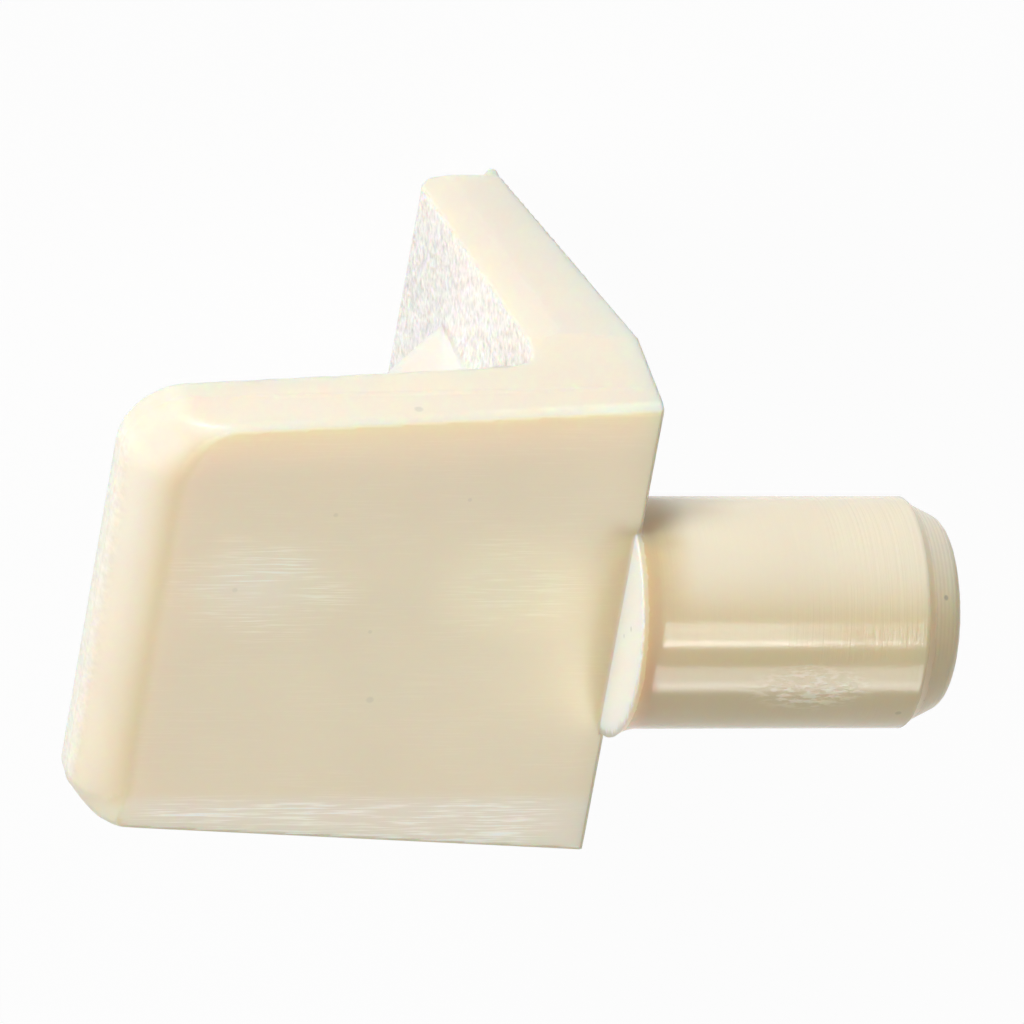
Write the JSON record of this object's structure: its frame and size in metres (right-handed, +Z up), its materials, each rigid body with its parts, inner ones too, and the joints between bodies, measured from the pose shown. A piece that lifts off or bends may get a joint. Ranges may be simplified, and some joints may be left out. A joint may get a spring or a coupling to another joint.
{
  "type": "shelf support pin",
  "caption": "Almond plastic shelf support: a round pin for the cabinet side, a tapered back plate and a ledge with a web that carries the shelf.",
  "frame": {"origin": "where the pin's axis crosses the plate's outer face, the face that rests on the cabinet side", "axes": "+X along the pin into the cabinet side, +Z up through the shelf, Y across the ledge"},
  "size_m": [0.0236, 0.0148, 0.0204],
  "materials": {
    "almond_plastic": "satin moulded plastic, fine spark texture on the plate's inner face"
  },
  "bodies": {
    "root": {"shelf_support_pin": "almond_plastic"}
  },
  "joints": []
}
